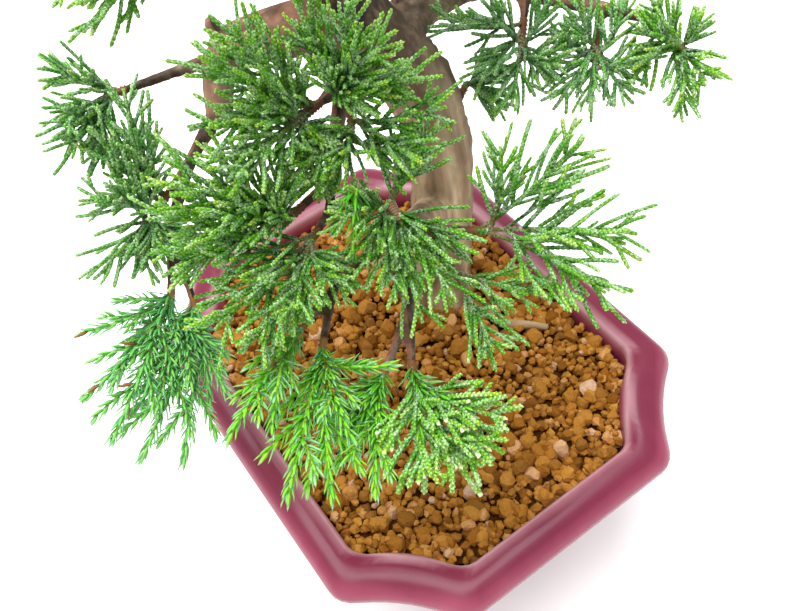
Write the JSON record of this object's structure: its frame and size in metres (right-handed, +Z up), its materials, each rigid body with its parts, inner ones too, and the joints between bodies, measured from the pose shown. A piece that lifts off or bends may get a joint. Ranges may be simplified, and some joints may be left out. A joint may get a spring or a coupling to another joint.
{
  "type": "itoigawa juniper bonsai",
  "caption": "Small juniper bonsai with a curved trunk and spreading sprays of scale and needle foliage, in granular soil in a footed, glazed pot with cut corners.",
  "frame": {"origin": "on the table under the middle of the pot, which is also the middle of the whole part's footprint", "axes": "+Z up along the tree, X along the pot's long side, Y across it; the tree's best view is from -Y and +X"},
  "size_m": [0.16, 0.1801, 0.2609],
  "materials": {
    "plum_glaze": "glossy plum-pink glaze, paler where it breaks over edges",
    "akadama": "dry, crumbly fired clay grains",
    "drain_plastic": "moulded black mesh",
    "bark": "tan to grey-brown bark with flaking strips and a reddish live vein",
    "dry_stick": "weathered dry wood",
    "scale_leaves": "bluish-green waxy scales with yellow-green tips",
    "young_needles": "bright green waxy needles with a pale stripe"
  },
  "bodies": {
    "root": {"pot": "plum_glaze", "soil": "akadama", "drain_mesh_left": "drain_plastic", "drain_mesh_right": "drain_plastic", "trunk_and_branches": "bark", "soil_stick": "dry_stick", "foliage_apex": "scale_leaves", "foliage_back_left": "scale_leaves", "foliage_back_right": "scale_leaves", "foliage_behind_trunk": "scale_leaves", "foliage_centre": "scale_leaves", "foliage_crown_back": "scale_leaves", "foliage_crown_back_high": "scale_leaves", "foliage_crown_back_low": "scale_leaves", "foliage_crown_front": "scale_leaves", "foliage_crown_left": "scale_leaves", "foliage_crown_left_high": "scale_leaves", "foliage_crown_right": "scale_leaves", "foliage_crown_right_high": "scale_leaves", "foliage_crown_right_low": "scale_leaves", "foliage_far_left_hanging": "young_needles", "foliage_far_left_low": "young_needles", "foliage_far_left_middle": "scale_leaves", "foliage_far_left_top": "scale_leaves", "foliage_left_front": "scale_leaves", "foliage_left_low": "scale_leaves", "foliage_low_front": "scale_leaves", "foliage_low_side": "young_needles", "foliage_right_end": "scale_leaves", "foliage_right_first": "scale_leaves", "foliage_right_long": "scale_leaves", "foliage_right_low": "scale_leaves", "foliage_right_second": "scale_leaves", "foliage_upper_front": "scale_leaves", "foliage_upper_left": "scale_leaves", "foliage_upper_low": "scale_leaves", "foliage_young_front": "young_needles", "foliage_young_left": "young_needles"}
  },
  "joints": []
}
